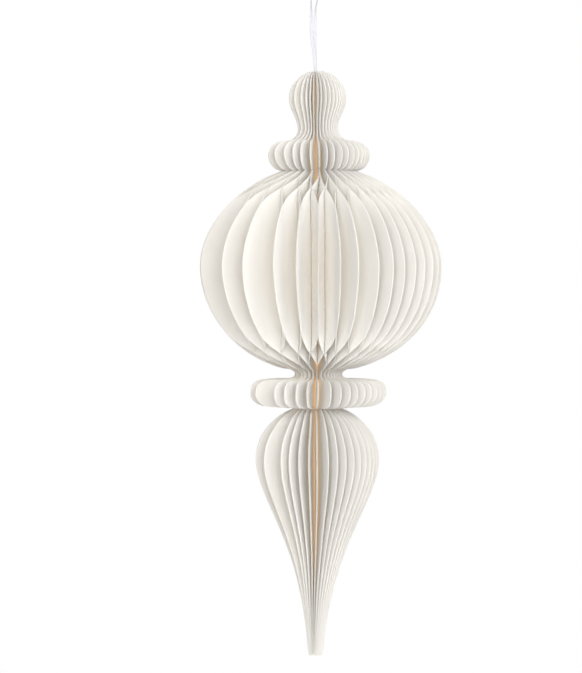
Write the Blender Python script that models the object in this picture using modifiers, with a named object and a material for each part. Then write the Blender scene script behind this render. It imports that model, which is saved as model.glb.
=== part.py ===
"""Hanging paper ornament, a finial of folded sheets opened into a full round fan on a ribbon loop.

Every sheet is one piece of card cut to the same two-sided outline (knob, collar, globe, wide
collar, long drop) and creased once down its middle. The creases stand in a ring round a hollow
spine. Neighbouring sheets are glued back to back along pair lines, and inside the globe the two
halves of each sheet are glued together again at a pinch line, which opens the pointed cells at
the globe's shoulders. The ribbon's two ends are tied in a knot that is wedged in the spine.

The origin is where a hook bears on the inside of the loop, and +Z is up.
"""

import math

import bmesh
import bpy
from mathutils import Vector
from mathutils.geometry import interpolate_bezier

MM = 0.001
MERGE = 0.0001 * MM

# Paper and fan
SHEETS = 30
PAPER = 0.25 * MM
GLUE_SPACE = 0.25 * MM
CREASE_SPACE = 0.1 * MM

# Where the sheets are glued, by radius. The globe's cells have two walls, one on each side of
# the pinch line.
INNER_PAIR_LINE = 36.2 * MM
INNER_WALL = 19.8 * MM
OUTER_WALL = 17.6 * MM
PINCH_LINE = INNER_PAIR_LINE + INNER_WALL
OUTER_PAIR_LINE = PINCH_LINE + OUTER_WALL
GLUE_LINES = (INNER_PAIR_LINE, PINCH_LINE, OUTER_PAIR_LINE)

# How the fan is spread. The creases stand evenly, turned a little from the front, and each pair
# line leans from the straight way out by LEAN times a cosine, so the sheets crowd on one side.
SPINE_TURN = math.radians(-22.0)
LEAN = math.radians(23.6)
LEAN_SIDE = math.radians(12.8)

# Radius of the ring of creases, from the paper that has to pass between two of them
FOLD_RING = SHEETS * (2 * PAPER + GLUE_SPACE + CREASE_SPACE) / (2 * math.pi * math.cos(LEAN))

# Outline, from the top down: radii from the spine, and the height of each stretch. The taper of
# the drop takes what the other stretches leave of the paper's whole height.
PAPER_HEIGHT = 449.9 * MM
TOP_MARGIN = 0.6 * MM
KNOB_RADIUS = 22.1 * MM
KNOB_CROWN = 21.5 * MM
KNOB_SKIRT = 22.8 * MM
NECK_RADIUS = 15.4 * MM
NECK_COVE = 9.6 * MM
COLLAR_ROOT = 25.4 * MM
COLLAR_RADIUS = 39.3 * MM
COLLAR_RISE = 10.4 * MM
COLLAR_FALL = 12.5 * MM
NOTCH_RADIUS = 28.5 * MM
GLOBE_RADIUS = 93.6 * MM
GLOBE_RISE = 78.0 * MM
GLOBE_FALL = 82.8 * MM
WAIST_ROOT = 28.0 * MM
WAIST_RADIUS = 18.1 * MM
WAIST_COVE = 4.2 * MM
WIDE_COLLAR_ROOT = 38.5 * MM
WIDE_COLLAR_RADIUS = 52.8 * MM
WIDE_COLLAR_RISE = 10.4 * MM
WIDE_COLLAR_FALL = 10.4 * MM
COLLAR_LIP = 1.6 * MM
LOWER_NOTCH_RADIUS = 18.5 * MM
DROP_RADIUS = 47.8 * MM
DROP_SHOULDER = 43.0 * MM
TAPER_START = 30.8 * MM
TAPER_END_RADIUS = 12.3 * MM
TAPER_END = 84.8 * MM
TIP_MARGIN = 1.5 * MM
TIP_END_MARGIN = 0.5 * MM
TIP_HEIGHT = 4.6 * MM

# How full each rounded stretch is: 2 is an ellipse, and a greater power has squarer shoulders
ELLIPSE = 2.0
GLOBE_RISE_POWER = 1.81
GLOBE_FALL_POWER = 2.03
WAIST_POWER = 3.0
WIDE_COLLAR_POWER = 2.6

# Ribbon and its knot, which sits in the hollow spine below the top of the paper
RIBBON_WIDTH = 2.4 * MM
PAPER_TOP = -76.0 * MM
KNOT_DEPTH = 9.0 * MM
SEAT = 0.3 * MM
KNOT_RADIUS = FOLD_RING * math.cos(math.pi / SHEETS) - PAPER / 2 - SEAT
TUBE_STEP = 2.5 * RIBBON_WIDTH

CARD_COLOUR = (0.86, 0.84, 0.79, 1.0)
CARD_ROUGHNESS = 0.85
RIBBON_COLOUR = (0.84, 0.84, 0.91, 1.0)
RIBBON_ROUGHNESS = 0.55


def swell(inner, outer, height, power, steps, start=None, at=()):
    """One quarter of a rounded bulge, from its upper end to its widest place.

    With the angle a from the upper end to a right angle, the radius is
    inner + (outer - inner) * sin(a) ** (2 / power) and the height still to fall is
    height * cos(a) ** (2 / power). It can start at a radius past the upper end, it has a point
    at each radius in at, and the rest of the way is in even steps of the angle. The result is a
    list of (radius, fall) pairs.
    """
    radii = [inner if start is None else start, *at]
    angles = [math.asin(((radius - inner) / (outer - inner)) ** (power / 2)) for radius in radii]
    last = angles[-1]
    angles += [last + (math.pi / 2 - last) * i / steps for i in range(1, steps + 1)]
    heights = [height * max(0.0, math.cos(angle)) ** (2 / power) for angle in angles]
    return [
        (inner + (outer - inner) * math.sin(angle) ** (2 / power), heights[0] - left)
        for angle, left in zip(angles, heights)
    ]


def ebb(*sizes, **more):
    """The same quarter turned over: from the widest place down to the lower end."""
    pairs = swell(*sizes, **more)
    bottom = pairs[-1][1]
    return [(radius, bottom - fall) for radius, fall in reversed(pairs)]


def skirt(upper, lower, height, steps):
    """An S-shaped stretch between two radii, eased with a half cosine."""
    pairs = []
    for i in range(steps + 1):
        ease = (1 - math.cos(math.pi * i / steps)) / 2
        pairs.append((upper + (lower - upper) * ease, height * i / steps))
    return pairs


def taper(height, steps):
    """The long hollow taper of the drop, one cubic curve with its two handles."""
    curve = interpolate_bezier(
        Vector((DROP_RADIUS, 0.0)),
        Vector((DROP_RADIUS, TAPER_START)),
        Vector((TAPER_END_RADIUS, height - TAPER_END)),
        Vector((FOLD_RING + TIP_MARGIN, height)),
        steps + 1,
    )
    return [(point.x, point.y) for point in curve]


def outline():
    """The right-hand outline of a sheet, and where the globe starts and ends on it.

    The outline is a list of (radius, fall from the top) pairs.
    """
    above = [
        swell(0.0, KNOB_RADIUS, KNOB_CROWN, ELLIPSE, 4, start=FOLD_RING + TOP_MARGIN),
        skirt(KNOB_RADIUS, NECK_RADIUS, KNOB_SKIRT, 3),
        ebb(COLLAR_ROOT, NECK_RADIUS, NECK_COVE, ELLIPSE, 2),
        swell(COLLAR_ROOT, COLLAR_RADIUS, COLLAR_RISE, ELLIPSE, 3),
        ebb(NOTCH_RADIUS, COLLAR_RADIUS, COLLAR_FALL, ELLIPSE, 3),
    ]
    from_notch = {"start": NOTCH_RADIUS, "at": GLUE_LINES}
    to_waist = {"start": WAIST_ROOT, "at": GLUE_LINES}
    globe = [
        swell(0.0, GLOBE_RADIUS, GLOBE_RISE, GLOBE_RISE_POWER, 3, **from_notch),
        ebb(0.0, GLOBE_RADIUS, GLOBE_FALL, GLOBE_FALL_POWER, 3, **to_waist),
    ]
    below = [
        swell(WAIST_ROOT, WAIST_RADIUS, WAIST_COVE, ELLIPSE, 2),
        ebb(WIDE_COLLAR_ROOT, WAIST_RADIUS, WAIST_COVE, WAIST_POWER, 1),
        swell(WIDE_COLLAR_ROOT, WIDE_COLLAR_RADIUS, WIDE_COLLAR_RISE, WIDE_COLLAR_POWER, 3),
        ebb(WIDE_COLLAR_ROOT, WIDE_COLLAR_RADIUS, WIDE_COLLAR_FALL, ELLIPSE, 3),
        [(LOWER_NOTCH_RADIUS, COLLAR_LIP)],
        swell(0.0, DROP_RADIUS, DROP_SHOULDER, ELLIPSE, 4, start=LOWER_NOTCH_RADIUS),
    ]
    pairs = []
    ends = [join(pairs, part) for part in (above, globe, below)]
    tip = [(FOLD_RING + TIP_END_MARGIN, TIP_HEIGHT)]
    join(pairs, [taper(PAPER_HEIGHT - TIP_HEIGHT - ends[-1], 4), tip])
    return pairs, (ends[0], ends[1])


def join(pairs, stretches):
    """Adds stretches to the foot of an outline, and gives the fall where they end."""
    for stretch in stretches:
        depth = pairs[-1][1] if pairs else 0.0
        first = 1 if pairs and stretch[0][1] == 0.0 else 0
        pairs += [(radius, depth + fall) for radius, fall in stretch[first:]]
    return pairs[-1][1]


def plan(radius, azimuth):
    """A point in plan. Azimuth 0 is the front, and it grows to the viewer's right."""
    return Vector((radius * math.sin(azimuth), -radius * math.cos(azimuth)))


def square(direction):
    """The direction turned a quarter turn, towards a growing azimuth."""
    return Vector((-direction.y, direction.x))


def pair_line(k):
    """Foot, direction and side direction of the line where sheets k - 1 and k are glued."""
    even = 2 * math.pi * k / SHEETS
    azimuth = even + SPINE_TURN
    direction = plan(1.0, azimuth + LEAN * math.cos(even + LEAN_SIDE))
    return plan(FOLD_RING, azimuth), direction, square(direction)


def on_pair_line(line, radius):
    """The point of a pair line that lies at a radius from the spine's axis."""
    foot, direction, _ = line
    along = foot.dot(direction)
    return foot + direction * (math.sqrt(along**2 + radius**2 - FOLD_RING**2) - along)


def glued(line, radius, side):
    """Where the paper's middle runs at a radius, half a glued gap beside its pair line."""
    return on_pair_line(line, radius) + line[2] * side * (PAPER + GLUE_SPACE) / 2


def pinched(lines, radius, side):
    """Where one half of the sheet runs at the pinch line, midway between its pair lines."""
    middle = (on_pair_line(lines[0], radius) + on_pair_line(lines[1], radius)).normalized()
    return middle * radius - square(middle) * side * (PAPER + GLUE_SPACE) / 2


def crease_corner(lines, line, side):
    """Where a half sheet meets its flat crease, which stands square to the cell's middle."""
    middle = (lines[0][0] + lines[1][0]) / 2
    across = (lines[0][1] + lines[1][1]).normalized()
    start = line[0] + line[2] * side * (PAPER + GLUE_SPACE) / 2
    return start + line[1] * (middle - start).dot(across) / line[1].dot(across)


def course(lines, side):
    """One half's way out from the crease, as its pair line and its (radius, place) stations."""
    line = lines[0] if side > 0 else lines[1]
    return line, [
        (FOLD_RING, crease_corner(lines, line, side)),
        (INNER_PAIR_LINE, glued(line, INNER_PAIR_LINE, side)),
        (PINCH_LINE, pinched(lines, PINCH_LINE, side)),
        (OUTER_PAIR_LINE, glued(line, OUTER_PAIR_LINE, side)),
        (GLOBE_RADIUS, glued(line, GLOBE_RADIUS, side)),
    ]


def folded(half, side, radius, in_globe):
    """Where a point of the flat sheet comes to lie in plan once the sheet is folded and glued.

    It is at the crease's corner, or on the straight way beside the pair line, or in the globe
    between two stations in the share that its radius has between theirs.
    """
    line, stations = half
    if radius < FOLD_RING + CREASE_SPACE:
        return stations[0][1]
    if radius <= INNER_PAIR_LINE or not in_globe:
        return glued(line, radius, side)
    nth = sum(radius > far for far, _ in stations[2:-1]) + 1
    (near, start), (far, end) = stations[nth], stations[nth + 1]
    return start.lerp(end, (radius - near) / (far - near))


def score(bm, distance):
    """A line across the flat sheet on each side of its middle, where it will bend."""
    for side in (-1, 1):
        bmesh.ops.bisect_plane(
            bm,
            geom=bm.verts[:] + bm.edges[:] + bm.faces[:],
            dist=MERGE,
            plane_co=(side * distance, 0.0, 0.0),
            plane_no=(1.0, 0.0, 0.0),
        )


def flat_sheet(pairs, globe, crease):
    """The flat two-sided outline as one face, scored where it is creased and glued.

    Across the sheet, a place lies at its radius less the crease ring's, plus half the crease.
    Outside the globe the halves run straight, so the glue scores are taken out again there.
    """
    bm = bmesh.new()
    right = [bm.verts.new((radius - FOLD_RING + crease, 0.0, -fall)) for radius, fall in pairs]
    left = [bm.verts.new((-vert.co.x, 0.0, vert.co.z)) for vert in reversed(right)]
    loop = right + left
    edges = [bm.edges.new((a, b)) for a, b in zip(loop, loop[1:] + loop[:1])]
    bmesh.ops.contextual_create(bm, geom=edges)
    for radius in GLUE_LINES:
        score(bm, radius - FOLD_RING + crease)
    scores = [edge for edge in bm.edges if len(edge.link_faces) == 2]
    spare = [edge for edge in scores if not globe[0] < -edge.verts[0].co.z < globe[1]]
    bmesh.ops.dissolve_edges(bm, edges=spare, use_verts=True)
    score(bm, crease)
    return bm


def add_sheet(k, pairs, globe, material, collection):
    """One folded sheet, which fills the cell between pair lines k and k + 1."""
    lines = pair_line(k), pair_line(k + 1)
    halves = {side: course(lines, side) for side in (1, -1)}
    corners = [halves[side][1][0][1] for side in (1, -1)]
    crease = (corners[0] - corners[1]).length / 2
    bm = flat_sheet(pairs, globe, crease)
    for vert in bm.verts:
        side = 1 if vert.co.x < 0 else -1
        radius = abs(vert.co.x) - crease + FOLD_RING
        place = folded(halves[side], side, radius, globe[0] < -vert.co.z < globe[1])
        vert.co = (place.x, place.y, PAPER_TOP + vert.co.z)
    mesh = bpy.data.meshes.new(f"folded_sheet_{k + 1:02d}")
    bm.to_mesh(mesh)
    bm.free()
    mesh.materials.append(material)
    sheet = bpy.data.objects.new(mesh.name, mesh)
    collection.objects.link(sheet)
    thickness = sheet.modifiers.new("paper thickness", "SOLIDIFY")
    thickness.thickness = PAPER
    thickness.offset = 0.0
    thickness.use_even_offset = True
    return sheet


def ribbon_route():
    """The ribbon's middle, by hand: up from the knot, round the hook, and down to the knot.

    The lower points are set from the top of the paper, and the rest from the hook.
    """
    end = -KNOT_DEPTH + KNOT_RADIUS + SEAT
    rising = [(-1.2, -1.3, end / MM), (-1.9, -1.35, 0), (-2.6, -1.35, 8), (-3.4, -1.3, 16)]
    loop = [
        (-4.6, -0.9, -52), (-5.2, -0.3, -44), (-5.3, 0, -34), (-5.4, 0, -24), (-5.7, 0, -15),
        (-5.7, 0, -8.5), (-5.2, 0, -4.0), (-4.5, 0, -1.4), (-2.6, 0, 0.5), (0, 0, 1.2),
        (2.6, 0, 0.5), (4.5, 0, -1.4), (5.2, 0, -4.0), (4.7, 0, -8.2), (3.0, 0, -13.2),
        (0.6, 0, -18.2), (-1.3, 0, -24), (-2.2, 0, -32), (-2.2, 0.2, -42), (-2.3, 0.6, -51),
    ]
    falling = [(-2.4, 1.1, 16), (-2.2, 1.35, 8), (-1.9, 1.35, 0), (-1.2, 1.3, end / MM)]
    top = Vector((0.0, 0.0, PAPER_TOP))
    return (
        [Vector(point) * MM + top for point in rising]
        + [Vector(point) * MM for point in loop]
        + [Vector(point) * MM + top for point in falling]
    )


def smooth_path(points, step):
    """Points about one step apart along a smooth curve through the given points."""
    path = []
    for i in range(len(points) - 1):
        start, end = points[i], points[i + 1]
        before = points[max(i - 1, 0)]
        after = points[min(i + 2, len(points) - 1)]
        reach = (end - start).length / 3
        leave = (end - before).normalized() * reach
        arrive = (after - start).normalized() * reach
        count = max(2, round((end - start).length / step) + 1)
        path += interpolate_bezier(start, start + leave, end - arrive, end, count)[:-1]
    return path + [points[-1]]


def add_ribbon(material, collection):
    """The ribbon loop as a plain round cord of the ribbon's width."""
    data = bpy.data.curves.new("hanging_ribbon", "CURVE")
    data.dimensions = "3D"
    data.bevel_depth = RIBBON_WIDTH / 2
    data.bevel_resolution = 2
    data.use_fill_caps = True
    path = smooth_path(ribbon_route(), TUBE_STEP)
    spline = data.splines.new("POLY")
    spline.points.add(len(path) - 1)
    for point, place in zip(spline.points, path):
        point.co = (*place, 1.0)
    data.materials.append(material)
    ribbon = bpy.data.objects.new(data.name, data)
    collection.objects.link(ribbon)
    return ribbon


def add_knot(material, collection):
    """The knot in the ribbon's two ends, wedged in the hollow spine."""
    bm = bmesh.new()
    bmesh.ops.create_uvsphere(bm, u_segments=12, v_segments=6, radius=KNOT_RADIUS)
    mesh = bpy.data.meshes.new("ribbon_knot")
    bm.to_mesh(mesh)
    bm.free()
    mesh.shade_smooth()
    mesh.materials.append(material)
    knot = bpy.data.objects.new(mesh.name, mesh)
    knot.location = (0.0, 0.0, PAPER_TOP - KNOT_DEPTH)
    collection.objects.link(knot)
    return knot


def add_material(name, colour, roughness):
    """A Principled material with one colour and roughness."""
    material = bpy.data.materials.new(name)
    material.use_nodes = True
    shader = material.node_tree.nodes["Principled BSDF"]
    shader.inputs["Base Color"].default_value = colour
    shader.inputs["Roughness"].default_value = roughness
    shader.inputs["Metallic"].default_value = 0.0
    material.diffuse_color = colour
    return material


def build():
    """Clears the scene and models the whole ornament."""
    for old in list(bpy.data.objects):
        bpy.data.objects.remove(old)
    collection = bpy.data.collections.new("hanging_paper_ornament")
    bpy.context.scene.collection.children.link(collection)
    card = add_material("ivory_card", CARD_COLOUR, CARD_ROUGHNESS)
    ribbon = add_material("pale_ribbon", RIBBON_COLOUR, RIBBON_ROUGHNESS)
    pairs, globe = outline()
    for k in range(SHEETS):
        add_sheet(k, pairs, globe, card, collection)
    add_ribbon(ribbon, collection)
    add_knot(ribbon, collection)
    print(f"outline: {len(pairs)} points a side, {pairs[-1][1] / MM:.1f} mm tall")


build()
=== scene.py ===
# %% [markdown]
# Hanging folded paper ornament
#
# The real object is a fan of thirty folded card sheets, opened into a full round and hung on a
# ribbon. Each sheet has the same outline: a knob, a small collar, a globe, a wide collar and a
# long drop. We dress the measured frame with sheets that curve, and give them the light and the
# finish of matte ivory card.
#
# First comes the frame.

# %% Load the frame
import math

import bpy
import numpy as np
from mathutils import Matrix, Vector


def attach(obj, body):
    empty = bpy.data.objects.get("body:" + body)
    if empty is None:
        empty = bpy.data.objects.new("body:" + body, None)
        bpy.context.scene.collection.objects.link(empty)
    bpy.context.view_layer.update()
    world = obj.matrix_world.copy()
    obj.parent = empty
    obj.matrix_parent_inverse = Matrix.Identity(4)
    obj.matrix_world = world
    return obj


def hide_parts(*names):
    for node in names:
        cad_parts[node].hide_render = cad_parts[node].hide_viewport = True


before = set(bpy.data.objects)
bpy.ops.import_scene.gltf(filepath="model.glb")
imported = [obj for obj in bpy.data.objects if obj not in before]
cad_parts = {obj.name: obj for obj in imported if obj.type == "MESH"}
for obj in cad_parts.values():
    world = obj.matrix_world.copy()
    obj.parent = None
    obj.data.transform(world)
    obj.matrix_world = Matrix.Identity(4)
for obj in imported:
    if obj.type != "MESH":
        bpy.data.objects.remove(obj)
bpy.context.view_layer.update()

MM = 0.001

# %% [markdown]
# The photograph was taken from straight ahead, a little above the middle, with a long lens. A
# long lens keeps the globe's front from swelling. The picture is taller than it is wide, and
# Blender fits the sensor's 36 mm to the longer side, so the lens follows from the height of the
# view and the distance.

# %% Camera
SENSOR = 36.0
CAMERA_DISTANCE = 2400 * MM
VIEW_HEIGHT = 518.5 * MM
VIEW_MIDDLE = Vector((-20.8 * MM, 0.0, -279.8 * MM))
CAMERA_RAISE = 54 * MM

camera = bpy.data.objects.new("camera", bpy.data.cameras.new("camera"))
bpy.context.scene.collection.objects.link(camera)
camera.location = VIEW_MIDDLE + Vector((0.0, -CAMERA_DISTANCE, CAMERA_RAISE))
camera.rotation_euler = (VIEW_MIDDLE - camera.location).to_track_quat("-Z", "Y").to_euler()
camera.data.sensor_width = SENSOR
camera.data.lens = SENSOR * CAMERA_DISTANCE / VIEW_HEIGHT
bpy.context.scene.camera = camera
print(f"lens {camera.data.lens:.1f} mm at {CAMERA_DISTANCE:.2f} m")

# %% [markdown]
# Small helpers come next. Everything that we model is an array of points and a list of faces, so
# one function turns both into an object. It also turns the faces round if the volume that they
# enclose comes out negative, because faces have to point outwards.

# %% Mesh helpers
ANY_ANGLE = math.pi
FULL_TURN = 2 * math.pi


def unit(vectors):
    """Vectors divided by their lengths."""
    return vectors / np.linalg.norm(vectors, axis=-1, keepdims=True)


def square_to(along, vectors):
    """Unit vectors at right angles to unit directions: each vector less its part along the
    direction, which is the direction times the dot product of the two."""
    return unit(vectors - along * np.sum(vectors * along, axis=-1, keepdims=True))


def signed_volume(points, faces):
    """Volume inside a closed mesh: the sum, over its triangles, of a sixth of the corner a dotted
    with the cross product of the corners b and c. Each face is taken as a fan of triangles."""
    corners = points[faces]
    total = 0.0
    for nth in range(1, faces.shape[1] - 1):
        a, b, c = corners[:, 0], corners[:, nth], corners[:, nth + 1]
        total += float(np.einsum("ij,ij->", a, np.cross(b, c))) / 6
    return total


def add_mesh(name, points, face_sets, sharp_angle=ANY_ANGLE):
    """An object from an (n, 3) array of points and arrays of three or four corners a face."""
    if sum(signed_volume(points, faces) for faces in face_sets) < 0:
        face_sets = [faces[:, ::-1] for faces in face_sets]
    mesh = bpy.data.meshes.new(name)
    mesh.from_pydata(points.tolist(), [], [f for faces in face_sets for f in faces.tolist()])
    mesh.polygons.foreach_set("use_smooth", np.ones(len(mesh.polygons), dtype=bool))
    if sharp_angle < ANY_ANGLE:
        mesh.set_sharp_from_angle(angle=sharp_angle)
    mesh.update()
    piece = bpy.data.objects.new(name, mesh)
    bpy.context.scene.collection.objects.link(piece)
    return piece


# %% [markdown]
# The hanging ribbon is a narrow satin ribbon whose two ends are tied in a knot inside the hollow
# spine. It runs from the knot up round the hook, which is at the origin, and back down to the knot.
#
# A curve with a bevel would make a round string. We want a flat ribbon that faces the viewer
# where it hangs and lies flat on the hook, so we sweep a flat oval along the route, and turn the
# oval a quarter turn on the way up.

# %% Route of the ribbon
PAPER_TOP = -76.0 * MM
SHEETS = 30
PAPER = 0.25 * MM
GLUE_SPACE = 0.25 * MM
CREASE_SPACE = 0.1 * MM
LEAN = math.radians(23.6)

# Radius of the ring of creases, from the paper that has to pass between two of them
FOLD_RING = SHEETS * (2 * PAPER + GLUE_SPACE + CREASE_SPACE) / (2 * math.pi * math.cos(LEAN))

KNOT_DEPTH = 9.0 * MM
SEAT = 0.3 * MM
KNOT_RADIUS = FOLD_RING * math.cos(math.pi / SHEETS) - PAPER / 2 - SEAT
RIBBON_WIDTH = 2.4 * MM
RIBBON_THICKNESS = 0.32 * MM
RIBBON_END = PAPER_TOP - KNOT_DEPTH + KNOT_RADIUS + SEAT

# The route in millimetres, from the knot up round the hook and down to the knot
hand_points = np.array([
    (-1.2, -1.3, RIBBON_END / MM), (-1.9, -1.35, -76), (-2.6, -1.35, -68), (-3.4, -1.3, -60),
    (-4.6, -0.9, -52), (-5.2, -0.3, -44), (-5.3, 0, -34), (-5.4, 0, -24), (-5.7, 0, -15),
    (-5.7, 0, -8.5), (-5.2, 0, -4.0), (-4.5, 0, -1.4), (-2.6, 0, 0.5), (0, 0, 1.2),
    (2.6, 0, 0.5), (4.5, 0, -1.4), (5.2, 0, -4.0), (4.7, 0, -8.2), (3.0, 0, -13.2),
    (0.6, 0, -18.2), (-1.3, 0, -24), (-2.2, 0, -32), (-2.2, 0.2, -42), (-2.3, 0.6, -51),
    (-2.4, 1.1, -60), (-2.2, 1.35, -68), (-1.9, 1.35, -76), (-1.2, 1.3, RIBBON_END / MM),
]) * MM


def smooth_path(points, per_span):
    """A smooth line through the points. Each span is a cubic curve: its two handles are a third of
    the span long and point along the chord between the neighbours on either side."""
    before = np.vstack([points[:1], points[:-2]])
    after = np.vstack([points[2:], points[-1:]])
    start, end = points[:-1], points[1:]
    reach = np.linalg.norm(end - start, axis=1, keepdims=True) / 3
    leave = start + unit(end - before) * reach
    arrive = end - unit(after - start) * reach
    t = (np.arange(per_span) / per_span)[None, :, None]
    spans = (
        (1 - t) ** 3 * start[:, None]
        + 3 * (1 - t) ** 2 * t * leave[:, None]
        + 3 * (1 - t) * t**2 * arrive[:, None]
        + t**3 * end[:, None]
    )
    return np.vstack([spans.reshape(-1, 3), points[-1:]])


SPAN_STEPS = 8
ribbon_path = smooth_path(hand_points, SPAN_STEPS)

# %% [markdown]
# A ring of the swept ribbon needs two directions beside the path's own: one across its width and
# one through its thickness. The width starts along x, which faces the viewer, and turns to y
# close under the hook, where the ribbon lies flat over it.

# %% Sweep the ribbon
TURN_FROM, TURN_TO = -46 * MM, -12 * MM
RING_POINTS = 20


def smoothstep(low, high, value):
    """0 below low, 1 above high, and an even S between them: 3 t squared less 2 t cubed."""
    t = np.clip((value - low) / (high - low), 0.0, 1.0)
    return t * t * (3 - 2 * t)


def ring_faces(rings, around, joined=False):
    """Four-cornered faces between closed rings of points that follow each other. Where they are
    joined, the last ring is also joined to the first."""
    i, j = np.meshgrid(np.arange(rings if joined else rings - 1), np.arange(around), indexing="ij")
    next_i, next_j = (i + 1) % rings, (j + 1) % around
    corners = [(i, j), (i, next_j), (next_i, next_j), (next_i, j)]
    return np.stack([ring * around + place for ring, place in corners], axis=-1).reshape(-1, 4)


def sweep(name, path, across, width, thickness):
    """A flat oval carried along a path. In each ring the angle a goes round, and the point is
    the path plus half the width times cos(a) across, plus half the thickness times the square
    root of |sin(a)|, with its sign, through. Both ends close on a middle point."""
    along = unit(np.gradient(path, axis=0))
    across = square_to(along, across)
    through = np.cross(along, across)
    a = np.linspace(0, FULL_TURN, RING_POINTS, endpoint=False)
    wide = np.cos(a)[None, :, None] * width / 2
    thick = (np.sign(np.sin(a)) * np.sqrt(np.abs(np.sin(a))))[None, :, None] * thickness / 2
    rings = path[:, None] + across[:, None] * wide + through[:, None] * thick
    points = np.vstack([rings.reshape(-1, 3), path[:1], path[-1:]])
    first, last = len(points) - 2, len(points) - 1
    j = np.arange(RING_POINTS)
    k = (j + 1) % RING_POINTS
    top = (len(path) - 1) * RING_POINTS
    caps = np.vstack([
        np.stack([np.full_like(j, first), k, j], axis=1),
        np.stack([np.full_like(j, last), top + j, top + k], axis=1),
    ])
    return add_mesh(name, points, [ring_faces(len(path), RING_POINTS), caps])


turn = smoothstep(TURN_FROM, TURN_TO, ribbon_path[:, 2]) * math.pi / 2
ribbon_across = np.stack([np.cos(turn), np.sin(turn), np.zeros_like(turn)], axis=1)
ribbon = sweep("ribbon", ribbon_path, ribbon_across, RIBBON_WIDTH, RIBBON_THICKNESS)
print(f"ribbon swept in {len(ribbon.data.polygons)} faces")

# %% [markdown]
# The ribbon's two ends go into an overhand knot. It is wedged in the spine, where only somebody
# who looks down into the knob can see it. A trefoil is the shape of a closed overhand knot, so we
# carry a round tube along one and scale it to the ball that the frame holds for it.

# %% Knot
KNOT_TUBE = 1.15 * MM
KNOT_RINGS, KNOT_RING_POINTS = 72, 12
KNOT_HEIGHT = 1.3


def knot_points():
    """Rings of points round a trefoil. With t going round, its line is x = sin t + 2 sin 2t,
    y = cos t - 2 cos 2t and z = -height sin 3t, scaled so that the tube just fits in the ball."""
    t = np.linspace(0, FULL_TURN, KNOT_RINGS, endpoint=False)
    trefoil = np.stack([
        np.sin(t) + 2 * np.sin(2 * t),
        np.cos(t) - 2 * np.cos(2 * t),
        -KNOT_HEIGHT * np.sin(3 * t),
    ], axis=1)
    trefoil *= (KNOT_RADIUS - KNOT_TUBE) / np.linalg.norm(trefoil, axis=1).max()
    along = unit(np.roll(trefoil, -1, axis=0) - np.roll(trefoil, 1, axis=0))
    out = square_to(along, unit(trefoil))
    beside = np.cross(along, out)
    a = np.linspace(0, FULL_TURN, KNOT_RING_POINTS, endpoint=False)[None, :, None]
    round_it = out[:, None] * np.cos(a) + beside[:, None] * np.sin(a)
    rings = trefoil[:, None] + round_it * KNOT_TUBE
    return rings.reshape(-1, 3) + np.array([0.0, 0.0, PAPER_TOP - KNOT_DEPTH])


knot_faces = ring_faces(KNOT_RINGS, KNOT_RING_POINTS, joined=True)
knot = add_mesh("knot", knot_points(), [knot_faces])
print(f"knot in a ball of {2 * KNOT_RADIUS / MM:.1f} mm, {KNOT_DEPTH / MM:.0f} mm down in the spine")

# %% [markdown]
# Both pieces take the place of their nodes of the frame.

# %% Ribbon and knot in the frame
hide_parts("hanging_ribbon")
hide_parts("ribbon_knot")
for piece in (ribbon, knot):
    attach(piece, "root")

# %% [markdown]
# Now the outline of a sheet, from the top down. Each stretch is a quarter of a rounded bulge or
# an eased curve. Outside the globe we take as many points as the curve needs. In the globe we
# take a row of points wherever the outline crosses one of a fixed set of radii, because there
# the sheet bends along lines of fixed radius, and a grid that follows them shades cleanly.

# %% Outline sizes
INNER_PAIR_LINE = 36.2 * MM
PINCH_LINE = 56.0 * MM
OUTER_PAIR_LINE = 73.6 * MM
PAPER_HEIGHT = 449.9 * MM
TOP_RADIUS = FOLD_RING + 0.6 * MM
KNOB_RADIUS, KNOB_CROWN, KNOB_SKIRT = 22.1 * MM, 21.5 * MM, 22.8 * MM
NECK_RADIUS, NECK_COVE = 15.4 * MM, 9.6 * MM
COLLAR_ROOT, COLLAR_RADIUS = 25.4 * MM, 39.3 * MM
COLLAR_RISE, COLLAR_FALL = 10.4 * MM, 12.5 * MM
NOTCH_RADIUS = 28.5 * MM
GLOBE_RADIUS, GLOBE_RISE, GLOBE_FALL = 93.6 * MM, 78.0 * MM, 82.8 * MM
RISE_POWER, FALL_POWER = 1.81, 2.03
WAIST_ROOT, WAIST_RADIUS, WAIST_COVE = 28.0 * MM, 18.1 * MM, 4.2 * MM
WIDE_COLLAR_ROOT, WIDE_COLLAR_RADIUS = 38.5 * MM, 52.8 * MM
WIDE_COLLAR_RISE, WIDE_COLLAR_FALL, COLLAR_LIP = 10.4 * MM, 10.4 * MM, 1.6 * MM
LOWER_NOTCH_RADIUS = 18.5 * MM
DROP_RADIUS, DROP_SHOULDER = 47.8 * MM, 43.0 * MM
TAPER_START, TAPER_END_RADIUS, TAPER_END = 30.8 * MM, 12.3 * MM, 84.8 * MM
TIP_RADIUS, TIP_END_RADIUS, TIP_HEIGHT = FOLD_RING + 1.5 * MM, FOLD_RING + 0.5 * MM, 4.6 * MM
ELLIPSE, WAIST_POWER, WIDE_COLLAR_POWER = 2.0, 3.0, 2.6
print(f"creases on a ring of {FOLD_RING / MM:.1f} mm radius, globe of {GLOBE_RADIUS / MM:.1f} mm")

# %% [markdown]
# Four kinds of curve are enough for the outline. Each one gives pairs of a radius and how far it
# lies below the curve's upper end, and a chain puts the curves one under the other.

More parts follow.
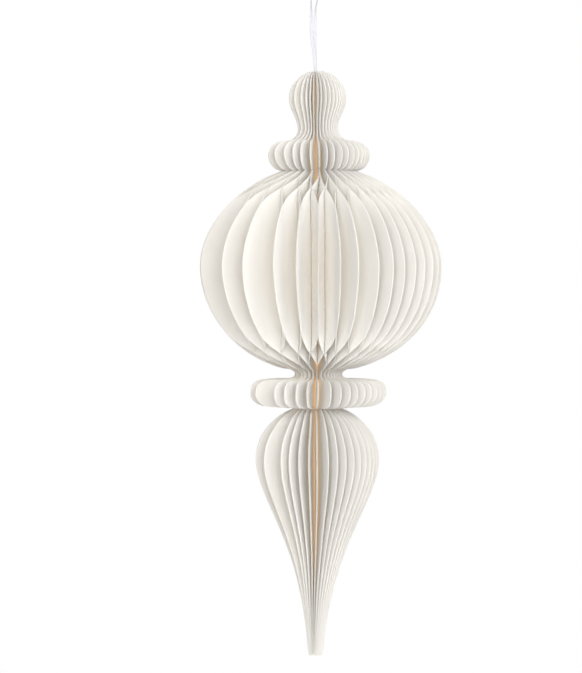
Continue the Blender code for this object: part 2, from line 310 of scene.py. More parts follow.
# %% Curves of the outline
def swell(inner, outer, height, power, steps, start=None):
    """A quarter of a rounded bulge from its upper end to its widest place. With the angle a, the
    radius is inner + (outer - inner) sin(a)^(2/power), and the height left to fall is
    height cos(a)^(2/power). It gives an (n, 2) array of radius and fall."""
    share = 0.0 if start is None else (start - inner) / (outer - inner)
    a = np.linspace(math.asin(share ** (power / 2)), math.pi / 2, steps + 1)
    left = height * np.maximum(np.cos(a), 0.0) ** (2 / power)
    return np.stack([inner + (outer - inner) * np.sin(a) ** (2 / power), left[0] - left], axis=1)


def ebb(*sizes, **more):
    """The same quarter turned over, from the widest place down to the lower end."""
    pairs = swell(*sizes, **more)[::-1].copy()
    pairs[:, 1] = pairs[0, 1] - pairs[:, 1]
    return pairs


def skirt(upper, lower, height, steps):
    """An S between two radii: upper + (lower - upper) (1 - cos(pi t)) / 2, with t from 0 to 1."""
    t = np.linspace(0, 1, steps + 1)
    return np.stack([upper + (lower - upper) * (1 - np.cos(math.pi * t)) / 2, height * t], axis=1)


def taper(height, steps):
    """The drop's long hollow taper, one cubic curve: (1 - t)^3 times its start, 3 (1 - t)^2 t and
    3 (1 - t) t^2 times its two handles, and t^3 times its end."""
    t = np.linspace(0, 1, steps + 1)[:, None]
    return (
        (1 - t) ** 3 * np.array([DROP_RADIUS, 0.0])
        + 3 * (1 - t) ** 2 * t * np.array([DROP_RADIUS, TAPER_START])
        + 3 * (1 - t) * t**2 * np.array([TAPER_END_RADIUS, height - TAPER_END])
        + t**3 * np.array([TIP_RADIUS, height])
    )


def chain(stretches):
    """Stretches put one under the other. A first point that repeats the last one is left out."""
    rows, depth = [], 0.0
    for stretch in stretches:
        part = stretch[1:] if len(rows) and stretch[0, 1] == 0.0 else stretch
        rows.append(part + np.array([0.0, depth]))
        depth += stretch[-1, 1]
    return np.vstack(rows)


# %% [markdown]
# The fixed radii of the globe begin a little inside the inner pair line and stand closest by the
# pinch line, where the card bends most. The globe's upper and lower halves cross the same radii.

# %% Fixed radii of the globe
FIRST_FIXED_RADIUS = 32.4 * MM
BESIDE_PINCH = 1.0 * MM
WALL_COLUMNS, OUTER_COLUMNS = 8, 9
outer_angles = np.linspace(
    math.asin(OUTER_PAIR_LINE / GLOBE_RADIUS), math.pi / 2, OUTER_COLUMNS + 1
)
globe_radii = np.concatenate([
    [FIRST_FIXED_RADIUS, INNER_PAIR_LINE],
    np.linspace(INNER_PAIR_LINE, PINCH_LINE - BESIDE_PINCH, WALL_COLUMNS)[1:],
    [PINCH_LINE],
    np.linspace(PINCH_LINE + BESIDE_PINCH, OUTER_PAIR_LINE, WALL_COLUMNS),
    GLOBE_RADIUS * np.sin(outer_angles[1:]),
])


def globe_quarter(height, power, start):
    """The globe's outline at the fixed radii: with the share s of its greatest radius, what is
    left of the height is height (1 - s^power)^(1/power)."""
    radii = np.concatenate([[start], globe_radii])
    left = height * (1 - np.minimum(radii / GLOBE_RADIUS, 1.0) ** power) ** (1 / power)
    return np.stack([radii, left[0] - left], axis=1)


rise = globe_quarter(GLOBE_RISE, RISE_POWER, NOTCH_RADIUS)
fall = globe_quarter(GLOBE_FALL, FALL_POWER, WAIST_ROOT)[::-1].copy()
fall[:, 1] = fall[0, 1] - fall[:, 1]
print(f"{len(globe_radii)} fixed radii from {globe_radii[0] / MM:.1f} to {GLOBE_RADIUS / MM:.1f} mm")

# %% [markdown]
# Now the stretches are put one under the other. The last number of each says in how many steps it
# is drawn. The taper of the drop takes what is left of the paper's height.

# %% Rows of the sheet
above = chain([
    swell(0.0, KNOB_RADIUS, KNOB_CROWN, ELLIPSE, 14, start=TOP_RADIUS),
    skirt(KNOB_RADIUS, NECK_RADIUS, KNOB_SKIRT, 10),
    ebb(COLLAR_ROOT, NECK_RADIUS, NECK_COVE, ELLIPSE, 6),
    swell(COLLAR_ROOT, COLLAR_RADIUS, COLLAR_RISE, ELLIPSE, 8),
    ebb(NOTCH_RADIUS, COLLAR_RADIUS, COLLAR_FALL, ELLIPSE, 8),
])
below = chain([
    swell(WAIST_ROOT, WAIST_RADIUS, WAIST_COVE, ELLIPSE, 5),
    ebb(WIDE_COLLAR_ROOT, WAIST_RADIUS, WAIST_COVE, WAIST_POWER, 5),
    swell(WIDE_COLLAR_ROOT, WIDE_COLLAR_RADIUS, WIDE_COLLAR_RISE, WIDE_COLLAR_POWER, 8),
    ebb(WIDE_COLLAR_ROOT, WIDE_COLLAR_RADIUS, WIDE_COLLAR_FALL, ELLIPSE, 8),
    np.array([[LOWER_NOTCH_RADIUS, COLLAR_LIP]]),
    swell(0.0, DROP_RADIUS, DROP_SHOULDER, ELLIPSE, 14, start=LOWER_NOTCH_RADIUS),
])
outline = chain([above, rise, fall, below])
left_over = PAPER_HEIGHT - TIP_HEIGHT - outline[-1, 1]
tip = np.array([[TIP_END_RADIUS, TIP_HEIGHT]])
outline = chain([outline, taper(left_over, 22), tip])
rim, drop_at = outline[:, 0], outline[:, 1]
globe_first, globe_last = len(above) - 1, len(above) - 1 + 2 * len(globe_radii)
globe_top, globe_foot = drop_at[globe_first], drop_at[globe_last]
in_globe = (np.arange(len(rim)) >= globe_first) & (np.arange(len(rim)) <= globe_last)
print(f"{len(rim)} rows, paper {drop_at[-1] / MM:.1f} mm tall, "
      f"globe from {globe_top / MM:.1f} to {globe_foot / MM:.1f} mm")

# %% [markdown]
# A row holds points from the crease out to the rim. The first few columns reach the rim in the
# knob, the collars and the drop. The rest are the fixed radii of the globe, and a row stops at
# the one where its rim lies. We give every row the same number of columns all the same, and let
# the columns past the rim point at the rim's own vertex: faces that shrink to nothing are left
# out, and those that lose one corner become triangles along the rim.

# %% Columns of the sheet
INNER_COLUMNS = 10
COLUMN_POWER = 0.8
share = np.linspace(0, 1, INNER_COLUMNS + 1) ** COLUMN_POWER
inner_edge = np.where(in_globe, np.interp(drop_at, [globe_top, globe_foot],
                                          [NOTCH_RADIUS, WAIST_ROOT]), rim)
radius = np.hstack([
    FOLD_RING + (inner_edge - FOLD_RING)[:, None] * share[None, :],
    np.minimum(np.broadcast_to(globe_radii, (len(rim), len(globe_radii))), rim[:, None]),
])
rows, columns = radius.shape
fine = len(globe_radii)
rim_column = np.full(rows, INNER_COLUMNS)
rim_column[globe_first:globe_first + fine + 1] = INNER_COLUMNS + np.arange(fine + 1)
rim_column[globe_first + fine:globe_last + 1] = INNER_COLUMNS + np.arange(fine, -1, -1)
column = np.minimum(np.arange(columns)[None, :], rim_column[:, None])
print(f"{rows} rows by {columns} columns a half")

# %% [markdown]
# Seen from above, each glued pair of sheets runs out from the spine as one straight line. The
# creases stand evenly round the spine, and the pair lines lean over to one side, so the fan is
# crowded on the viewer's right and open on the left. The real fan isn't the same at every height:
# the pairs of the knob, the collars and the drop are drawn further to the front. A short table
# for each level says by how many degrees, for the pairs on the front, and the levels flow into
# each other where the outline is narrow.

# %% Where the pairs point
SPINE_TURN = math.radians(-22.0)
LEAN_SIDE = math.radians(12.8)
pair = np.arange(SHEETS + 1)
even = FULL_TURN * pair / SHEETS
foot_azimuth = even + SPINE_TURN
globe_azimuth = foot_azimuth + LEAN * np.cos(even + LEAN_SIDE)

# How many degrees each pair is turned, for the pairs that front numbers. They count from the
# front centre pair, and negative ones are to the viewer's left.
FRONT_PAIRS = 8
front = np.arange(-FRONT_PAIRS, FRONT_PAIRS + 1)
turned = {
    "knob": [0, 3, 7, 12, 15.5, 12, 7.5, 1.9, 0, -3, -3, -2.5, -2, -1, -0.5, 0, 0],
    "collar": [0, 1, 3, 7, 8.9, 6.3, 3, 1.1, 0, -1.4, -2.9, -1.8, -2.3, -1, -0.5, 0, 0],
    "globe": [-8, -11, -12.5, -11.3, -1.2, -1.7, 1.5, -0.2, -1.6, -1.7, -2.9, -1.9, -1.8, -2.7,
              -3, -2.6, -1],
    "wide collar": [0, 0.5, 1, 1.7, 12.5, 7.6, 4.6, 1.9, 0, -0.1, -0.8, -1.6, -2.3, -2.2, -1.7,
                    -0.5, 0],
    "drop": [0, 1, 3, 8.1, 16.0, 10.5, 6.3, 3.5, 0, -0.6, -1.3, -1.8, -1.2, -0.9, -0.5, 0, 0],
}

# The radius in mm at which each level was read
level_radius = {"knob": 20, "collar": 36, "globe": 93.6, "wide collar": 50, "drop": 45}


def plan(distance, azimuth):
    """A point seen from above: x is the distance times sin(azimuth), and y is less the distance
    times cos(azimuth). Azimuth 0 is the front, and it grows to the viewer's right."""
    return np.stack([distance * np.sin(azimuth), -distance * np.cos(azimuth)], axis=-1)


def toward(level):
    """The direction of each pair line at a level: from its foot on the crease ring to the point
    at the level's radius that has the azimuth we want for the pair's edge."""
    number = (pair + SHEETS // 2) % SHEETS - SHEETS // 2
    far = level_radius["globe"] * MM
    lean = globe_azimuth - foot_azimuth
    seen = globe_azimuth - np.arcsin(FOLD_RING * np.sin(lean) / far)
    seen = seen + np.radians(np.interp(number, front, turned[level], left=0, right=0))
    way = plan(level_radius[level] * MM, seen) - plan(FOLD_RING, foot_azimuth)
    azimuth = np.arctan2(way[:, 0], -way[:, 1])
    return azimuth + FULL_TURN * np.round((globe_azimuth - azimuth) / FULL_TURN)


levels = np.stack([toward(level) for level in turned])

# Each level flows into the next one over a stretch below the paper's top, in mm.
flows = [(44, 56), (75, 98), (219, 238), (260, 272)]
steps = [smoothstep(low * MM, high * MM, drop_at) for low, high in flows]
weights = np.stack([
    1 - steps[0], steps[0] - steps[1], steps[1] - steps[2], steps[2] - steps[3], steps[3]
])
azimuth = np.einsum("lr,lk->kr", weights, levels)
print(f"pairs turned by up to {max(np.abs(row).max() for row in turned.values()):.0f} degrees")

# %% [markdown]
# The spine of the real ornament isn't quite straight either. Its middle is bowed a little to the
# viewer's right at the globe, and to the left at the tip. The bow is read from the photograph at
# a few heights, as millimetres down and millimetres to the right, and smoothed by averaging it
# over a short stretch.

# %% Bow of the spine
BOW_REACH = 9
bow_read = np.array([
    (0, -0.4), (40, -0.4), (60, 0.5), (71, 0.6), (83, 1.1), (99, 1.3), (129, 1.8), (176, 2.2),
    (191, 2.5), (206, 2.1), (219, 1.6), (231, 0.3), (243, 0.0), (284, -0.8), (330, -0.6),
    (384, -1.0), (407, -1.5), (450, -1.9),
])
nearby = np.linspace(-BOW_REACH, BOW_REACH, 2 * BOW_REACH + 1)[None, :]
bow = np.interp(drop_at[:, None] / MM + nearby, *bow_read.T).mean(axis=1) * MM
print(f"spine bowed by {bow.min() / MM:.1f} to {bow.max() / MM:.1f} mm")

# %% [markdown]
# No hand folds thirty sheets alike. Each pair line gets its own slow, slight wave along its
# height, from three sines of a few cycles and a fraction of a degree each, and each pinch sits a
# little off the middle. The random numbers have a seed, so that each run gives the same fan.

# %% Slight unevenness
SEED = 7
WAVES = ((1.0, 0.25), (2.3, 0.2), (4.1, 0.12))
PINCH_SPREAD = 0.04

rng = np.random.default_rng(SEED)
wave = np.zeros((SHEETS, rows))
for cycles, degrees in WAVES:
    phase = rng.uniform(0, FULL_TURN, (SHEETS, 1))
    size = rng.normal(0, math.radians(degrees), (SHEETS, 1))
    wave += size * np.sin(FULL_TURN * cycles * drop_at / drop_at[-1] + phase)
wave = np.vstack([wave, wave[:1]])
azimuth = azimuth + wave
pinch_shift = rng.normal(0, PINCH_SPREAD, SHEETS)
print(f"pair lines wave by up to {np.degrees(np.abs(wave).max()):.2f} degrees")

# %% [markdown]
# A half of a sheet runs beside its pair line. In the globe it leaves the pair line, swings over
# to the pinch line, where it is glued to the sheet's other half, and comes back. This is what
# opens the pointed cells at the globe's shoulders. The way over is a triangle wave whose corners
# are rounded, because card bends there and isn't folded.

# %% The way over to the pinch line
ROUND_INNER, ROUND_PINCH, ROUND_OUTER = 4.0 * MM, 0.9 * MM, 5.5 * MM


def soft_ramp(x, soft):
    """0 below -soft, x above soft, and (x + soft)^2 / 4 soft between them."""
    return np.where(x < -soft, 0.0, np.where(x > soft, x, (x + soft) ** 2 / (4 * soft)))


def swing(r):
    """How far over to the pinch line the card is at a radius, from 0 to 1: three rounded ramps
    added up, with the corners placed so that it is 0 at both pair lines."""
    first, last = INNER_PAIR_LINE + ROUND_INNER, OUTER_PAIR_LINE - ROUND_OUTER
    up, down = 1 / (PINCH_LINE - first), 1 / (last - PINCH_LINE)
    height = (
        up * soft_ramp(r - first, ROUND_INNER)
        - (up + down) * soft_ramp(r - PINCH_LINE, ROUND_PINCH)
        + down * soft_ramp(r - last, ROUND_OUTER)
    )
    return height / (1 - (up + down) * ROUND_PINCH / 4)


print(f"swing of {swing(np.array(INNER_PAIR_LINE)):.2f} at the inner pair line and "
      f"{swing(np.array(PINCH_LINE)):.2f} at the pinch line")

# %% [markdown]
# With the way over, one function can say where every point of half a sheet lies, seen from above.
# All radii of all rows are worked out at once.

# %% From flat sheet to folded sheet
def square(way):
    """A direction turned a quarter turn, towards a growing azimuth: (x, y) becomes (-y, x)."""
    return np.stack([-way[..., 1], way[..., 0]], axis=-1)


def on_line(foot, way, r):
    """The point of a line at a radius from the axis: the foot plus the way times
    sqrt(b^2 + r^2 - ring^2) - b, with b the foot dotted with the way."""
    b = np.sum(foot * way, axis=-1)
    far = np.sqrt(b**2 + r**2 - FOLD_RING**2) - b
    return foot + way * far[..., None]


def half_path(k, side):
    """The middle of the card in plan for one half of sheet k, an array of rows by columns. The
    half stands beside pair line k for side 1, and beside line k + 1 for side -1. It is the glued
    place times (1 - over) plus the pinched place times over, where over is the swing. Near the
    crease it is also drawn back along its line, to meet the other half on the cell's middle."""
    ways = [plan(1.0, azimuth[n])[:, None, :] for n in (k, k + 1)]
    feet = [plan(FOLD_RING, foot_azimuth[n]) for n in (k, k + 1)]
    lines = [on_line(foot, way, radius) for foot, way in zip(feet, ways)]
    own = 0 if side > 0 else 1
    beside = square(ways[own]) * side * (PAPER + GLUE_SPACE) / 2
    glued = lines[own] + beside
    middle = unit(lines[0] * (0.5 - pinch_shift[k]) + lines[1] * (0.5 + pinch_shift[k]))
    pinched = middle * radius[..., None] - square(middle) * side * (PAPER + GLUE_SPACE) / 2
    over = np.where(in_globe[:, None], swing(radius), 0.0)[..., None]
    path = glued * (1 - over) + pinched * over
    across = unit(ways[0] + ways[1])
    start = feet[own] + beside
    back = np.sum(((feet[0] + feet[1]) / 2 - start) * across, axis=-1, keepdims=True)
    back = back / np.sum(ways[own] * across, axis=-1, keepdims=True)
    fade = (1 - (radius - FOLD_RING) / (rim - FOLD_RING)[:, None]) ** 2
    return path + ways[own] * back * fade[..., None]


# %% [markdown]
# The card has a thickness. Each row of the sheet, from rim to crease to rim, is a bent line seen
# from above. We move it half a thickness to either side, with mitred corners, as a carpenter
# would cut a frame.

# %% Thickness of the card
NO_LENGTH = 1e-12
SHARPEST_BEND = 0.5


def offset_rows(full, both, distance):
    """Rows of points moved sideways by a distance, with mitred corners: each point moves along
    the sum of the normals of the two segments that meet there, divided by 1 plus their dot
    product. A point that repeats the rim's takes the normal of the nearest real segment."""
    step = np.diff(full, axis=1)
    size = np.linalg.norm(step, axis=-1)
    real = np.diff(both, axis=1) != 0
    normal = square(step / np.maximum(size, NO_LENGTH)[..., None])
    place = np.arange(real.shape[1])
    first = np.argmax(real, axis=1)
    last = real.shape[1] - 1 - np.argmax(real[:, ::-1], axis=1)
    nearest = np.clip(place[None, :], first[:, None], last[:, None])
    normal = np.take_along_axis(normal, nearest[..., None], axis=1)
    before = np.concatenate([normal[:, :1], normal], axis=1)
    after = np.concatenate([normal, normal[:, -1:]], axis=1)
    bend = 1 + np.sum(before * after, axis=-1, keepdims=True)
    return full + (before + after) / np.maximum(bend, SHARPEST_BEND) * distance


# %% [markdown]
# The card's two sides are grids of quads, and narrow strips join them along every edge. The
# result is a closed solid with a true cut edge.

# %% Faces of a sheet
def sheet_faces(both, total):
    """Faces of both sides and of the four edges. A quad of the grid whose two corners in a row
    are the same vertex becomes a triangle, and one that loses two corners is left out."""
    a, b = both[:-1, :-1], both[:-1, 1:]
    c, d = both[1:, 1:], both[1:, :-1]
    upper, lower = a == b, c == d
    whole, no_upper, no_lower = ~upper & ~lower, upper & ~lower, lower & ~upper
    quads = np.stack([a[whole], b[whole], c[whole], d[whole]], axis=1)
    triangles = np.vstack([
        np.stack([a[no_upper], c[no_upper], d[no_upper]], axis=1),
        np.stack([a[no_lower], b[no_lower], c[no_lower]], axis=1),
    ])
    edges = []
    for line, order in ((both[:, 0], 1), (both[:, -1], -1), (both[0], -1), (both[-1], 1)):
        line = line[np.concatenate([[True], np.diff(line) != 0])]
        strip = np.stack([line[:-1], line[1:], line[1:] + total, line[:-1] + total], axis=1)
        edges.append(strip[:, ::order])
    return [np.vstack([quads, (quads + total)[:, ::-1], *edges]),
            np.vstack([triangles, (triangles + total)[:, ::-1]])]


# %% [markdown]
# A sheet's vertices are numbered row by row. Its height, its bow and its depth in from the rim are
# first known for the places of the grid, and then given to the vertices.

# %% Build one sheet
def sheet_mesh(k):
    """The points and faces of sheet k, and how deep each point lies in from the rim. A row's
    points are numbered from the left half's rim to the crease and out to the right half's rim."""
    left, right = half_path(k, 1), half_path(k, -1)
    counts = rim_column + 1
    starts = np.concatenate([[0], np.cumsum(2 * counts)])[:-1]
    on_left = starts[:, None] + rim_column[:, None] - column
    on_right = starts[:, None] + counts[:, None] + column
    total = int((2 * counts).sum())
    full = np.concatenate([left[:, ::-1], right], axis=1)
    both = np.concatenate([on_left[:, ::-1], on_right], axis=1)

    def on_vertices(values):
        """Values of the grid's places, given to the vertices that the places point at."""
        given = np.zeros((total, *values.shape[2:]))
        given[both] = values
        return given

    height = on_vertices(np.broadcast_to((PAPER_TOP - drop_at)[:, None], both.shape))
    aside = on_vertices(np.broadcast_to(bow[:, None], both.shape))
    inward = rim[:, None] - radius
    depth = on_vertices(np.concatenate([inward[:, ::-1], inward], axis=1))
    sides = []
    for distance in (PAPER / 2, -PAPER / 2):
        flat = on_vertices(offset_rows(full, both, distance))
        sides.append(np.column_stack([flat[:, 0] + aside, flat[:, 1], height]))
    return np.vstack(sides), sheet_faces(both, total), np.tile(depth, 2)


# %% [markdown]
# All thirty sheets come from the same function. Each one stands for its own node of the frame.

# %% Build all the sheets
SHARP = math.radians(40)
sheets = []
for k in range(SHEETS):
    points, faces, depth = sheet_mesh(k)
    sheet = add_mesh(f"card_sheet_{k + 1:02d}", points, faces, sharp_angle=SHARP)
    store = sheet.data.attributes.new("depth", "FLOAT", "POINT")
    store.data.foreach_set("value", depth.astype(np.float32))
    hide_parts(f"folded_sheet_{k + 1:02d}")
    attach(sheet, "root")
    sheets.append(sheet)
triangles = sum(len(p.vertices) - 2 for p in sheets[0].data.polygons)
print(f"{len(sheets)} sheets of {triangles} triangles")

# %% [markdown]
# The card is uncoated and ivory. Its finish has a fine tooth of fibres in the bump and a faint
# cloudiness in the colour. Deep by the creases a warmer, darker colour is painted in: it is painted
# shade and bounced light, not a tone of the card. The depth from the rim is stored with each sheet,
# so the painted crease shade follows the paper and not the view.
#
# Two things make paper look like paper here. Its surface is so rough that a face seen at a
# glancing angle is as bright as one seen square on, which is the diffuse roughness. And a sheet
# absorbs only a few hundredths of the light: the rest is reflected or comes out on the other side,
# so a part of the shader is translucent, and the deep cells fill with light. The renderer stops
# after a few bounces, and in the deepest creases the later ones matter most. A faint warm glow
# that grows towards the crease stands for them.

# %% Material tools
def new_material(name):
    """An empty node material and its output node."""
    material = bpy.data.materials.new(name)
    material.use_nodes = True
    material.node_tree.nodes.clear()
    return material, material.node_tree.nodes.new("ShaderNodeOutputMaterial")


def node(material, kind, inputs=None, **settings):
    """A node with its settings, and its inputs set to values or linked to other sockets."""
    made = material.node_tree.nodes.new(kind)
    for key, value in settings.items():
        setattr(made, key, value)
    for key, value in (inputs or {}).items():
        if isinstance(value, bpy.types.NodeSocket):
            material.node_tree.links.new(value, made.inputs[key])
        else:
            made.inputs[key].default_value = value
    return made


# %% [markdown]
# Both finishes are made of noises. A noise seldom gets near 0 or 1, so we take the range in which
# it mostly lies and spread that over the range we want.

# %% Pattern tools
RELIEF_DEPTH = 0.03 * MM
NOISE_MIDDLE = (0.35, 0.65)
NOISE_MOST = (0.3, 0.7)


def spread(material, value, low, high, to_low, to_high):
    """A value moved from one range to another, and kept inside it: to_low plus the share of the
    way from low to high times (to_high - to_low)."""
    made = node(material, "ShaderNodeMapRange", {
        "Value": value, "From Min": low, "From Max": high, "To Min": to_low, "To Max": to_high,
    })
    return made.outputs["Result"]


def mix_colour(material, share, first, second):
    """Two colours mixed in a share. On a mix node for colours, socket 0 is the share, 6 and 7 are
    the two colours, and output 2 is the result."""
    made = node(material, "ShaderNodeMix", {0: share, 6: first, 7: second}, data_type="RGBA")
    return made.outputs[2]


def noise(material, where, scale, detail):
    """How strong a noise is at each place, with so many waves a metre."""
    made = node(material, "ShaderNodeTexNoise", {
        "Vector": where, "Scale": scale, "Detail": detail,
    })
    return made.outputs["Fac"]


def maths(material, operation, *values):
    """The result of a calculation with up to three values."""
    return node(material, "ShaderNodeMath", dict(enumerate(values)), operation=operation).outputs[0]


def relief(material, height, strength):
    """The surface's direction, tilted by a height pattern of a few hundredths of a millimetre."""
    made = node(material, "ShaderNodeBump", {
        "Strength": strength, "Distance": RELIEF_DEPTH, "Height": height,
    })
    return made.outputs["Normal"]


# %% Ivory card
CARD = (0.965, 0.958, 0.938, 1.0)
CARD_CLOUD = (0.953, 0.945, 0.922, 1.0)
# The next colour is painted shade and bounced light for the creases, and the two glow colours after
# it are painted light there too
CARD_CREASE_SHADE = (0.955, 0.86, 0.69, 1.0)
CARD_THROUGH = (0.97, 0.945, 0.90, 1.0)
THROUGH_SHARE = 0.35
GLOW = (1.0, 0.83, 0.60, 1.0)
GLOW_DEEP = (1.0, 0.66, 0.36, 1.0)
GLOW_STRENGTH, GLOW_DEEP_STRENGTH = 0.08, 0.085

CLOUD_SCALE, FIBRE_SCALE, GRAIN_SCALE = 55.0, 1400.0, 420.0
ROUGHNESS = (0.82, 0.95)
CARD_RELIEF = 0.35
CREASE_SHADE_RADII = (4.5 * MM, 24 * MM)
CREASE_SHADE_DEPTHS = (2 * MM, 16 * MM)
PAINTED_GLOW_DEPTHS = (6 * MM, 45 * MM)

card, card_out = new_material("ivory card")
where = node(card, "ShaderNodeTexCoord").outputs["Object"]
cloud = noise(card, where, CLOUD_SCALE, 3.0)
fibre = noise(card, where, FIBRE_SCALE, 4.0)
grain = noise(card, where, GRAIN_SCALE, 2.0)
plain = mix_colour(card, spread(card, cloud, *NOISE_MIDDLE, 0.0, 1.0), CARD, CARD_CLOUD)
tilt = relief(card, maths(card, "ADD", fibre, grain), CARD_RELIEF)

# The painted crease shade and glow: full by the crease, gone where the paper is far from the spine
# or near the rim
depth_in = node(card, "ShaderNodeAttribute", attribute_name="depth").outputs["Fac"]
split = node(card, "ShaderNodeSeparateXYZ", {"Vector": where}).outputs
in_plan = node(card, "ShaderNodeCombineXYZ", {"X": split["X"], "Y": split["Y"]}).outputs[0]
from_spine = node(card, "ShaderNodeVectorMath", {0: in_plan}, operation="LENGTH").outputs["Value"]
near_spine = spread(card, from_spine, *CREASE_SHADE_RADII, 1.0, 0.0)
deep = spread(card, depth_in, *CREASE_SHADE_DEPTHS, 0.0, 1.0)
# Painted light: this mask mixes a darker, warmer colour into the card by the creases and drives the
# painted glow, which also grows in from the rim
painted_crease_light = maths(card, "MULTIPLY", near_spine, deep)
painted_glow = spread(card, depth_in, *PAINTED_GLOW_DEPTHS, 0.0, GLOW_STRENGTH)

surface = node(card, "ShaderNodeBsdfPrincipled", {
    "Base Color": mix_colour(card, painted_crease_light, plain, CARD_CREASE_SHADE),
    "Roughness": spread(card, fibre, *NOISE_MOST, *ROUGHNESS),
    "Diffuse Roughness": 1.0, "Specular IOR Level": 0.25, "Normal": tilt,
    "Emission Color": mix_colour(card, painted_crease_light, GLOW, GLOW_DEEP),
    "Emission Strength": maths(card, "MULTIPLY_ADD", painted_crease_light, GLOW_DEEP_STRENGTH, painted_glow),
})
through = node(card, "ShaderNodeBsdfTranslucent", {"Color": CARD_THROUGH, "Normal": tilt})
both_ways = node(card, "ShaderNodeMixShader", {
    0: THROUGH_SHARE, 1: surface.outputs[0], 2: through.outputs[0],
})
card.node_tree.links.new(both_ways.outputs[0], card_out.inputs["Surface"])
print(f"ivory card of {len(card.node_tree.nodes)} nodes")
for sheet in sheets:
    sheet.data.materials.append(card)

# %% [markdown]
# The ribbon is satin, nearly white with a breath of lilac. Fine threads run along it. Its own
# coordinates would slide on a bent ribbon, but at this width the threads are so fine that a tight
# noise stretched along the height gives the same look.

# %% Satin ribbon
RIBBON = (0.73, 0.727, 0.77, 1.0)
RIBBON_SHADE = (0.65, 0.648, 0.70, 1.0)

THREAD_SCALE, WEAVE_SCALE, THREAD_STRETCH = 5200.0, 3200.0, 0.06
SATIN_ROUGHNESS = (0.38, 0.52)
SATIN_RELIEF = 0.4

satin, satin_out = new_material("pale satin")
where = node(satin, "ShaderNodeTexCoord").outputs["Object"]
along = node(satin, "ShaderNodeMapping", {
    "Vector": where, "Scale": (1.0, 1.0, THREAD_STRETCH),
}).outputs[0]
threads = noise(satin, along, THREAD_SCALE, 2.0)
weave = noise(satin, where, WEAVE_SCALE, 2.0)
thread_share = spread(satin, threads, *NOISE_MIDDLE, 0.0, 1.0)
surface = node(satin, "ShaderNodeBsdfPrincipled", {
    "Base Color": mix_colour(satin, thread_share, RIBBON, RIBBON_SHADE),
    "Roughness": spread(satin, weave, *NOISE_MOST, *SATIN_ROUGHNESS),
    "Specular IOR Level": 0.3,
    "Normal": relief(satin, maths(satin, "ADD", threads, weave), SATIN_RELIEF),
})
satin.node_tree.links.new(surface.outputs[0], satin_out.inputs["Surface"])
print(f"pale satin of {len(satin.node_tree.nodes)} nodes")
for piece in (ribbon, knot):
    piece.data.materials.append(satin)

# %% [markdown]
# The studio is plain: white all round, with one large soft light in front, a little above the
# camera, and a weaker one at the front right. The background is full white where it is seen,
# straight by the camera, in a gloss or through something thin. What else it sheds on the card is
# weaker, so that the card renders about as its colour is written.

# %% World
AMBIENT = 0.45
WHITE = (1.0, 1.0, 1.0, 1.0)


def seen_ray(owner):
    """1 for a ray from the camera or one that was mirrored or passed through, else 0."""
    rays = node(owner, "ShaderNodeLightPath").outputs
    either = maths(owner, "MAXIMUM", rays["Is Camera Ray"], rays["Is Glossy Ray"])
    return maths(owner, "MAXIMUM", either, rays["Is Transmission Ray"])


world = bpy.data.worlds.new("white studio")
bpy.context.scene.world = world
world.use_nodes = True
world.node_tree.nodes.clear()
lit = node(world, "ShaderNodeBackground", {"Color": WHITE, "Strength": AMBIENT})
seen = node(world, "ShaderNodeBackground", {"Color": WHITE, "Strength": 1.0})
choose = node(world, "ShaderNodeMixShader", {
    0: seen_ray(world), 1: lit.outputs[0], 2: seen.outputs[0],
})
node(world, "ShaderNodeOutputWorld", {"Surface": choose.outputs[0]})
print(f"world lights the card at {AMBIENT} and is seen at 1")

# %% [markdown]
# The lamps are large soft squares. Matte paper has hardly any gloss, so their size shows only in
# the shadows that the sheets cast on each other, which it keeps soft.

# %% Lamps
LAMP_DISTANCE = 2.2
LAMP_SIZE = 1.3
LAMP_MIDDLE = Vector((0.0, 0.0, -0.27))
LAMP_WATTS = {(0, 8): 28.0, (35, 15): 13.0}

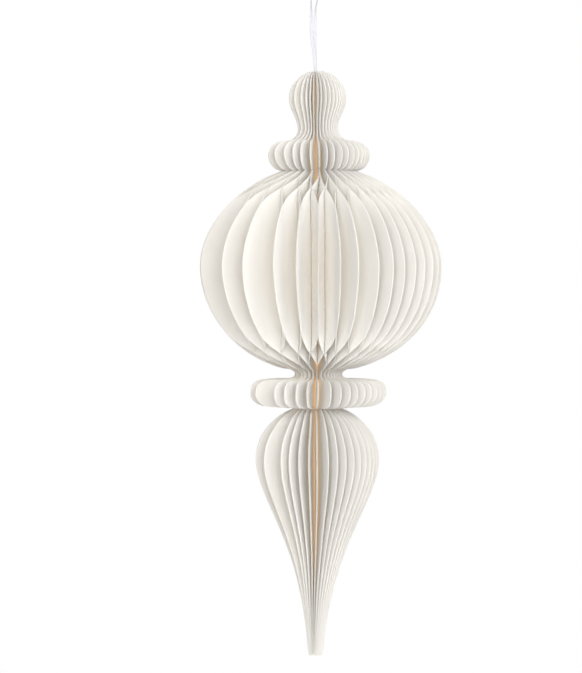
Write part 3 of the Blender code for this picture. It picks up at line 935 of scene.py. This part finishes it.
# A lamp's key is how many degrees it stands to the right of the front, and how many it is raised.
for (to_right, raised), watts in LAMP_WATTS.items():
    name = f"softbox_{to_right}_{raised}"
    lamp = bpy.data.objects.new(name, bpy.data.lights.new(name, "AREA"))
    lamp.data.shape = "SQUARE"
    lamp.data.size = LAMP_SIZE
    lamp.data.energy = watts
    level_way = plan(math.cos(math.radians(raised)), math.radians(to_right))
    way = Vector((*level_way, math.sin(math.radians(raised))))
    lamp.location = LAMP_MIDDLE + way * LAMP_DISTANCE
    lamp.rotation_euler = (-way).to_track_quat("-Z", "Y").to_euler()
    lamp.visible_camera = False
    bpy.context.scene.collection.objects.link(lamp)
    print(f"{name}: {watts} W")

# %% [markdown]
# A plain pale floor lies well below the ornament. It is out of the photograph's view, and in
# other views it keeps the ornament's soft shadow. The camera sees it a little whiter than the
# lamps alone would make it.

# %% Floor
FLOOR = -0.80
FLOOR_RADIUS = 1.3
FLOOR_CORNERS = 96
FLOOR_WHITE = 0.36
FLOOR_LIGHT, FLOOR_DARK = (0.90, 0.90, 0.90, 1.0), (0.88, 0.88, 0.88, 1.0)

turn = np.linspace(0, FULL_TURN, FLOOR_CORNERS, endpoint=False)
floor_points = np.column_stack([plan(FLOOR_RADIUS, turn), np.full(FLOOR_CORNERS, FLOOR)])
floor_mesh = bpy.data.meshes.new("floor")
floor_mesh.from_pydata(floor_points.tolist(), [], [tuple(range(FLOOR_CORNERS))])
floor = bpy.data.objects.new("floor", floor_mesh)
bpy.context.scene.collection.objects.link(floor)
pale, pale_out = new_material("pale floor")
ground = noise(pale, node(pale, "ShaderNodeTexCoord").outputs["Object"], 3.0, 2.0)
surface = node(pale, "ShaderNodeBsdfPrincipled", {
    "Base Color": mix_colour(pale, ground, FLOOR_DARK, FLOOR_LIGHT), "Roughness": 0.9,
    "Emission Color": WHITE,
    "Emission Strength": spread(pale, seen_ray(pale), 0.0, 1.0, 0.0, FLOOR_WHITE),
})
pale.node_tree.links.new(surface.outputs[0], pale_out.inputs["Surface"])
floor.data.materials.append(pale)
print(f"floor {-FLOOR:.2f} m below the hook")

# %% [markdown]
# The colours are shown as they are rendered, without a film's curve.

# %% View settings
bpy.context.scene.view_settings.view_transform = "Standard"
